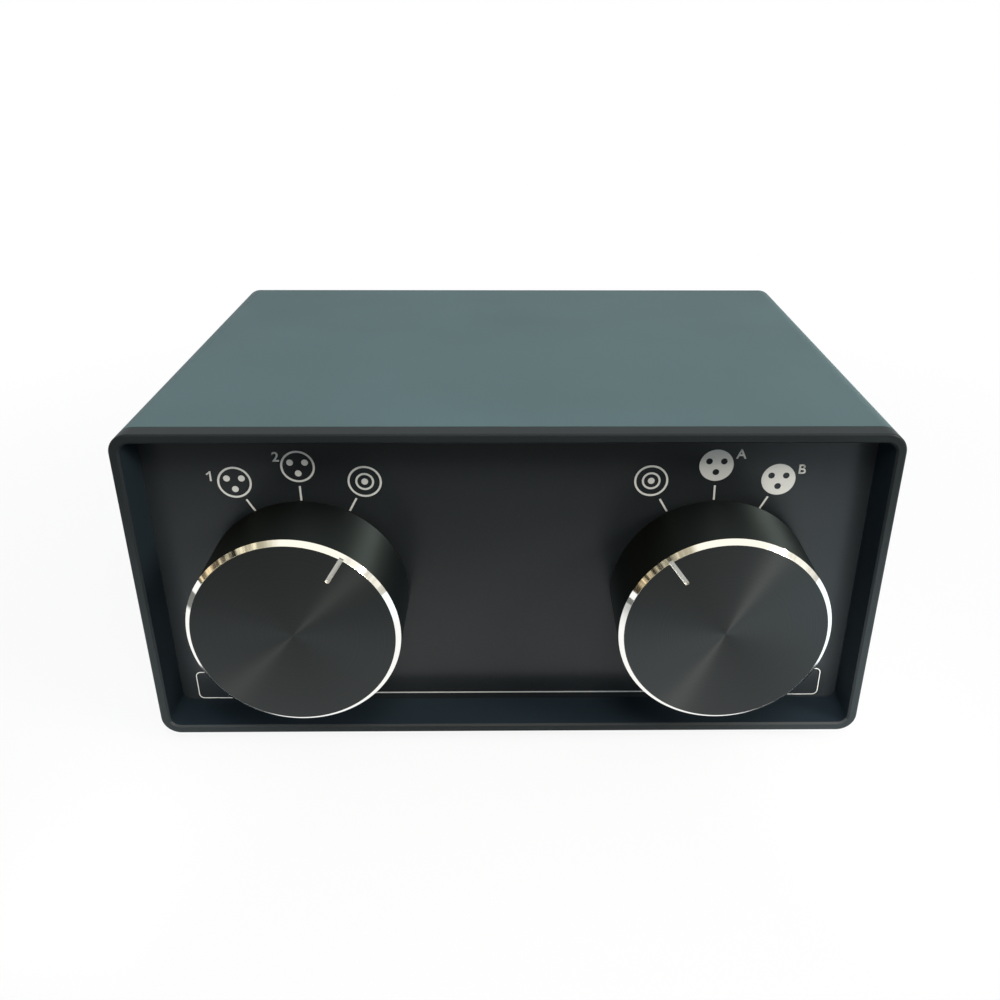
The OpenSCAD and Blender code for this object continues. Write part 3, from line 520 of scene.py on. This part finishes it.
SLOT_FINISHES = {
    "case_anodised": SLEEVE,
    "frame_anodised": FRAME,
    "panel_anodised": PANEL,
    "black_screw": BLACK_SCREW,
    "rubber": RUBBER,
    "plated_steel": STEEL,
    "nickel_shell": NICKEL,
    "gold_plate": GOLD,
    "black_plastic": BLACK_PLASTIC,
    "white_plastic": WHITE_PLASTIC,
    "fibreglass_board": BOARD,
    "ribbon_sheath": RIBBON,
}
KNOB_FINISHES = {f"{side}_knob": turned_knob(side) for side in KNOB_AXES}
for row in frame["record"]["subparts"]:
    finish = KNOB_FINISHES.get(row["node"]) or SLOT_FINISHES[row["material_slot"]]
    nodes[row["node"]].data.materials.clear()
    nodes[row["node"]].data.materials.append(finish)


def piece(name, shape, body, finish):
    """Makes a bmesh a piece that rides on a body."""
    mesh = bpy.data.meshes.new(name)
    shape.to_mesh(mesh)
    shape.free()
    mesh.materials.append(finish)
    made = bpy.data.objects.new(name, mesh)
    bpy.context.scene.collection.objects.link(made)
    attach(made, body)


# Print on the front panel: drawn flat in X and Z, then given the ink's thickness
def circle(shape, x, z, r, steps, filled=False):
    """A circle's edges, around nothing or around a face."""
    made = bmesh.ops.create_circle(shape, cap_ends=filled, radius=r, segments=steps)
    bmesh.ops.rotate(shape, verts=made["verts"], matrix=Matrix.Rotation(QUARTER_TURN, 3, "X"))
    bmesh.ops.translate(shape, verts=made["verts"], vec=(x, 0, z))
    return list(dict.fromkeys(edge for vert in made["verts"] for edge in vert.link_edges))


def ring(shape, x, z, r):
    outer = circle(shape, x, z, r, ICON_STEPS)
    inner = circle(shape, x, z, r - ICON_LINE, ICON_STEPS)
    bmesh.ops.bridge_loops(shape, edges=outer + inner)


def dots_at(x, z):
    """Centres of the three dots of a connector's sign: two above, one below."""
    return [(x + dot_x, z + dot_z) for dot_x, dot_z in DOTS]


def line_sign(shape, x, z):
    """A ring with three dots in it."""
    ring(shape, x, z, ICON_R)
    for dot_x, dot_z in dots_at(x, z):
        circle(shape, dot_x, dot_z, DOT_R, DOT_STEPS, filled=True)


def solid_sign(shape, x, z):
    """A disc with three round holes in it."""
    edges = circle(shape, x, z, ICON_R, ICON_STEPS)
    for dot_x, dot_z in dots_at(x, z):
        edges += circle(shape, dot_x, dot_z, DOT_R, DOT_STEPS)
    bmesh.ops.triangle_fill(shape, edges=edges, use_beauty=True)


def phono_sign(shape, x, z):
    """Two rings round a dot."""
    ring(shape, x, z, ICON_R)
    ring(shape, x, z, INNER_RING_R)
    circle(shape, x, z, CENTRE_DOT_R, DOT_STEPS, filled=True)


def stroke(shape, start, end, width):
    """A straight line of ink between two points."""
    a = Vector((start[0], 0, start[1]))
    b = Vector((end[0], 0, end[1]))
    across = (b - a).normalized().cross(Vector((0, 1, 0))) * width / 2
    corners = (a - across, b - across, b + across, a + across)
    shape.faces.new([shape.verts.new(corner) for corner in corners])


def bracket(shape, x_end, x_open, z_low, z_high):
    """Three sides of a rounded rectangle, closed at x_end and open at x_open."""
    outward = 1 if x_end > x_open else -1
    loops = []
    for inset in (0, BRACKET_W):
        x = x_end - outward * inset
        low, high = z_low + inset, z_high - inset
        points = ((x_open, low), (x, low), (x, high), (x_open, high))
        verts = [shape.verts.new((px, 0, pz)) for px, pz in points]
        lines = [shape.edges.new(pair) for pair in zip(verts, verts[1:])]
        others = set(shape.edges) - set(lines)
        bmesh.ops.bevel(
            shape,
            geom=verts[1:3],
            offset=BRACKET_R - inset,
            affect="VERTICES",
            segments=BRACKET_STEPS,
            profile=ROUND_PROFILE,
            material=-1,
        )
        loops += [edge for edge in shape.edges if edge not in others]
    bmesh.ops.bridge_loops(shape, edges=loops)


def letter(shape, text, x, z):
    """A plain digit or letter, centred."""
    curve = bpy.data.curves.new("mark", "FONT")
    curve.body = text
    curve.size = LETTER_H * FONT_SIZE_TO_HEIGHT
    curve.offset = FONT_SWELL
    curve.align_x = "CENTER"
    curve.align_y = "CENTER"
    holder = bpy.data.objects.new("mark", curve)
    bpy.context.scene.collection.objects.link(holder)
    bpy.context.view_layer.update()
    evaluated = holder.evaluated_get(bpy.context.evaluated_depsgraph_get())
    mesh = bpy.data.meshes.new_from_object(evaluated)
    mesh.transform(Matrix.Translation((x, 0, z)) @ Matrix.Rotation(QUARTER_TURN, 4, "X"))
    shape.from_mesh(mesh)
    bpy.data.objects.remove(holder)
    bpy.data.meshes.remove(mesh)


def print_dial(shape, which):
    """The three tick marks round a knob, with a sign at each."""
    draw = {"line": line_sign, "solid": solid_sign, "phono": phono_sign}
    axis_x = KNOB_AXES[which][0] / MM
    axis_z = (KNOB_AXES[which][1] - CASE_FLOOR) / MM
    for sign, degrees, place in zip(SIGNS[which], TICK_ANGLES[which], SIGN_PLACES[which]):
        angle = math.radians(degrees)
        ends = [
            (axis_x + math.sin(angle) * reach, axis_z + math.cos(angle) * reach)
            for reach in (TICK_FROM, TICK_TO)
        ]
        stroke(shape, *ends, TICK_W)
        draw[sign](shape, axis_x + place[0], axis_z + place[1])


def thicken(shape):
    """Turns all faces to the front and raises them by the ink's thickness."""
    bmesh.ops.recalc_face_normals(shape, faces=shape.faces)
    for face in shape.faces:
        if face.normal.y > 0:
            face.normal_flip()
    raised = bmesh.ops.extrude_face_region(shape, geom=list(shape.faces), use_keep_orig=True)
    verts = [part for part in raised["geom"] if isinstance(part, bmesh.types.BMVert)]
    bmesh.ops.translate(shape, verts=verts, vec=(0, -INK_T, 0))
    bmesh.ops.recalc_face_normals(shape, faces=shape.faces)


def print_panel():
    shape = bmesh.new()
    for which in KNOB_AXES:
        print_dial(shape, which)
    stroke(shape, *ONE_STEM, ONE_STEM_W)
    stroke(shape, *ONE_FLAG, ONE_FLAG_W)
    for text, x, z in LETTERS:
        letter(shape, text, x, z)
    for ends in BRACKETS:
        bracket(shape, *ends)
    stroke(shape, (-RULE_HALF, RULE_Z), (RULE_HALF, RULE_Z), RULE_W)
    thicken(shape)
    bmesh.ops.scale(shape, vec=(MM, MM, MM), verts=shape.verts)
    bmesh.ops.translate(shape, vec=(0, PANEL_FACE, CASE_FLOOR), verts=shape.verts)
    piece("panel_print", shape, "case", INK)


print_panel()


def make_camera():
    level = math.cos(PITCH)
    forward = Vector((math.sin(YAW) * level, math.cos(YAW) * level, -math.sin(PITCH)))
    right = Vector((math.cos(YAW), -math.sin(YAW), 0))
    down = forward.cross(right)
    turned_right = right * math.cos(ROLL) + down * math.sin(ROLL)
    turned_down = down * math.cos(ROLL) - right * math.sin(ROLL)
    data = bpy.data.cameras.new("camera")
    data.sensor_width = SENSOR_W
    data.lens = FOCAL * SENSOR_W
    data.shift_x, data.shift_y = SHIFT
    data.clip_start = CLIP_START
    camera = bpy.data.objects.new("camera", data)
    axes = Matrix((turned_right, -turned_down, -forward)).transposed().to_4x4()
    camera.matrix_world = Matrix.Translation(CAMERA_AT) @ axes
    bpy.context.scene.collection.objects.link(camera)
    bpy.context.scene.camera = camera


make_camera()


def floor_glow(tree, place, ahead, unseen):
    """What camera and mirrors see of the floor: plain white, or a card with painted light and shade, a
    glow brighter and bluer to the right, a painted shadow ahead and a painted dark reflection on the left.
    """
    parts = split(tree, place)
    # A painted shadow ahead on the floor and a painted dark reflection on the left, both seen only in
    # mirrors
    aside = maths(tree, "ABSOLUTE", maths(tree, "ADD", parts["X"], PATCH_SHIFT_X))
    spread = times(tree, maths(tree, "ADD", parts["Y"], PATCH_SHIFT_Y), PATCH_SLOPE)
    within = span(tree, maths(tree, "ADD", aside, spread), PATCH_ENDS, (1.0, 0.0))
    patch = times(tree, ahead, within, unseen, PATCH_SHARE)
    right_end = span(tree, parts["X"], STRIP_RIGHT_X)
    left_end = span(tree, parts["X"], STRIP_LEFT_X)
    strip = times(tree, right_end, left_end, unseen)
    # The card's glow is brighter and bluer to the right: painted light
    card = mix_colour(tree, span(tree, parts["X"], CARD_X), CARD_LEFT, CARD_RIGHT_PAINTED_LIGHT)
    card = mix_colour(tree, unseen, WHITE, card)
    colour = mix_colour(tree, largest(tree, patch, strip), card, MIRRORED_PAINTED_SHADE)
    return put(tree, "ShaderNodeEmission", {"Color": colour, "Strength": 1.0}).outputs["Emission"]


def floor_finish():
    """White for the camera, a card in mirrors, dimmer ahead for bounced light, which is painted shade, and
    clear from below.
    """
    made, tree, shader = material("floor_white", FLOOR_COLOUR, FLOOR_ROUGHNESS, specular=0.0)
    rays = tree.nodes.new("ShaderNodeLightPath").outputs
    seen = largest(tree, rays["Is Camera Ray"], rays["Is Glossy Ray"], rays["Is Transmission Ray"])
    unseen = maths(tree, "SUBTRACT", 1.0, rays["Is Camera Ray"])
    place = where(tree)
    ahead = span(tree, split(tree, place)["Y"], AHEAD_Y)
    # Painted shade: darker ahead for light the floor bounces, but white to the camera
    bounced = mix_colour(tree, times(tree, ahead, unseen), FLOOR_COLOUR, FLOOR_PAINTED_SHADE_AHEAD)
    tree.links.new(bounced, shader.inputs["Base Color"])
    glow = floor_glow(tree, place, ahead, unseen)
    share = span(tree, length(tree, place), GLOW_AT, GLOW_SHARES)
    links = {0: times(tree, seen, share), 1: shader.outputs["BSDF"], 2: glow}
    lit = put(tree, "ShaderNodeMixShader", links).outputs["Shader"]
    below = tree.nodes.new("ShaderNodeNewGeometry").outputs["Backfacing"]
    clear = tree.nodes.new("ShaderNodeBsdfTransparent").outputs["BSDF"]
    sided = put(tree, "ShaderNodeMixShader", {0: below, 1: lit, 2: clear}).outputs["Shader"]
    tree.links.new(sided, tree.nodes["Material Output"].inputs["Surface"])
    return made


def make_floor():
    """White table top a hair under the feet."""
    shape = bmesh.new()
    bmesh.ops.create_grid(shape, x_segments=1, y_segments=1, size=FLOOR_HALF)
    bmesh.ops.translate(shape, verts=shape.verts, vec=(0, 0, -FLOOR_GAP))
    mesh = bpy.data.meshes.new("floor")
    shape.to_mesh(mesh)
    shape.free()
    mesh.materials.append(floor_finish())
    floor = bpy.data.objects.new("floor", mesh)
    bpy.context.scene.collection.objects.link(floor)


def mirrored_room(tree, toward):
    """Level and colour of the room in mirrors.

    A pale wall stands behind, a ceiling above, a shelf ahead on the left and a window on the right.
    The rest is dim, with scattered bright things.
    """
    parts = split(tree, toward)
    wall = times(
        tree,
        span(tree, parts["Y"], WALL_Y, (0.0, WALL_LEVEL)),
        span(tree, parts["Z"], WALL_Z, WALL_Z_LEVELS),
        span(tree, maths(tree, "ABSOLUTE", parts["X"]), WALL_X, WALL_X_LEVELS),
    )
    left = times(tree, span(tree, parts["X"], SHELF_X), span(tree, parts["Y"], SHELF_Y))
    shelf_low = span(tree, parts["Z"], SHELF_LOW_Z, (0.0, SHELF_LOW_LEVEL))
    shelf_high = span(tree, parts["Z"], SHELF_HIGH_Z, (0.0, SHELF_HIGH_LEVEL))
    shelf = maths(tree, "ADD", shelf_low, shelf_high)
    ceiling = span(tree, parts["Z"], CEILING_Z, (0.0, CEILING_LEVEL))
    above = maths(tree, "ADD", ceiling, times(tree, left, maths(tree, "SUBTRACT", shelf, ceiling)))
    right = times(tree, span(tree, parts["X"], WINDOW_X), span(tree, parts["Y"], WINDOW_Y))
    panes = span(tree, noise(tree, toward, *WINDOW_NOISE), WINDOW_ENDS, WINDOW_LEVELS)
    window = times(tree, right, panes)
    things = times(
        tree,
        span(tree, noise(tree, toward, *THINGS_NOISE), THINGS_ENDS, THINGS_LEVELS),
        span(tree, parts["Y"], THINGS_Y, THINGS_Y_LEVELS),
    )
    warm = times(
        tree,
        span(tree, parts["Z"], WARM_Z),
        span(tree, parts["Y"], WARM_Y),
        maths(tree, "SUBTRACT", 1.0, right),
    )
    on_shelf = times(tree, left, span(tree, parts["Z"], SHELF_TINT_Z))
    tint = mix_colour(tree, span(tree, parts["Y"], TINT_Y), TINT_AHEAD, TINT_BEHIND)
    tint = mix_colour(tree, on_shelf, tint, SHELF_TINT)
    tint = mix_colour(tree, warm, tint, WARM_TINT)
    return largest(tree, wall, above, things, window), tint


def make_world():
    """White all round for the camera, a room in mirrors and a bluish ambient light for the rest."""
    world = bpy.data.worlds.new("studio")
    world.use_nodes = True
    tree = world.node_tree
    rays = tree.nodes.new("ShaderNodeLightPath").outputs
    watched = rays["Is Camera Ray"]
    mirrored = largest(tree, rays["Is Glossy Ray"], rays["Is Transmission Ray"])
    ambient = maths(tree, "SUBTRACT", 1.0, largest(tree, watched, mirrored))
    toward = tree.nodes.new("ShaderNodeTexCoord").outputs["Generated"]
    room, tint = mirrored_room(tree, toward)
    colour = mix_colour(tree, mirrored, WHITE, tint)
    colour = mix_colour(tree, ambient, colour, AMBIENT_COLOUR)
    level = maths(tree, "ADD", watched, times(tree, mirrored, room))
    level = maths(tree, "ADD", level, times(tree, ambient, AMBIENT))
    sky = tree.nodes["Background"]
    tree.links.new(colour, sky.inputs["Color"])
    tree.links.new(level, sky.inputs["Strength"])
    bpy.context.scene.world = world


def lamp(name, at, aim, size, power, colour=WHITE, spread=math.pi, hidden=()):
    """An area lamp that the named kinds of rays don't see."""
    data = bpy.data.lights.new(name, "AREA")
    data.shape = "RECTANGLE"
    data.size, data.size_y = size
    data.energy = power
    data.color = colour
    data.spread = spread
    made = bpy.data.objects.new(name, data)
    made.location = at
    made.rotation_mode = "QUATERNION"
    made.rotation_quaternion = (Vector(aim) - Vector(at)).to_track_quat("-Z", "Y")
    for kind in hidden:
        setattr(made, f"visible_{kind}", False)
    bpy.context.scene.collection.objects.link(made)


def make_lamps():
    """Soft light from above and ahead, a warm key from the right, and small lamps for glints."""
    lamp(
        "overhead",
        at=(0.2, 0.05, 1.1),
        aim=(0, 0, 0.04),
        size=(1.0, 0.8),
        power=3.0,
        colour=SOFT_WARM,
    )
    lamp(
        "fill",
        at=(0.0, -0.42, 0.12),
        aim=(0, -0.04, 0.04),
        size=(0.16, 0.16),
        power=0.05,
        hidden=("glossy",),
    )
    lamp(
        "brow",
        at=(0.03, -0.3, 0.36),
        aim=(0, -0.04, 0.05),
        size=(0.12, 0.12),
        power=0.8,
        colour=SOFT_WARM,
        hidden=("glossy",),
    )
    for name, side, power in NEAR_LAMPS:
        lamp(
            name,
            at=(side * NEAR_X, -0.12, 0.02),
            aim=(side * NEAR_AIM_X, -0.04, 0.02),
            size=(0.03, 0.03),
            power=power,
            spread=NEAR_SPREAD,
            hidden=("glossy", "camera"),
        )
    lamp(
        "sparkle",
        at=KEY_AT,
        aim=KEY_AIM,
        size=(0.06, 0.06),
        power=12.0,
        colour=(1.0, 0.96, 0.88),
        hidden=("diffuse",),
    )
    lamp(
        "edge",
        at=(0.75, -0.3, 0.7),
        aim=(0, -0.05, 0.05),
        size=(0.1, 0.1),
        power=4.0,
        colour=(1.0, 0.97, 0.9),
        hidden=("diffuse",),
    )
    lamp(
        "key",
        at=KEY_AT,
        aim=KEY_AIM,
        size=(0.3, 0.3),
        power=6.5,
        colour=(1.0, 0.92, 0.82),
        hidden=("glossy",),
    )


make_floor()
make_world()
make_lamps()

bpy.context.scene.view_settings.view_transform = "Standard"
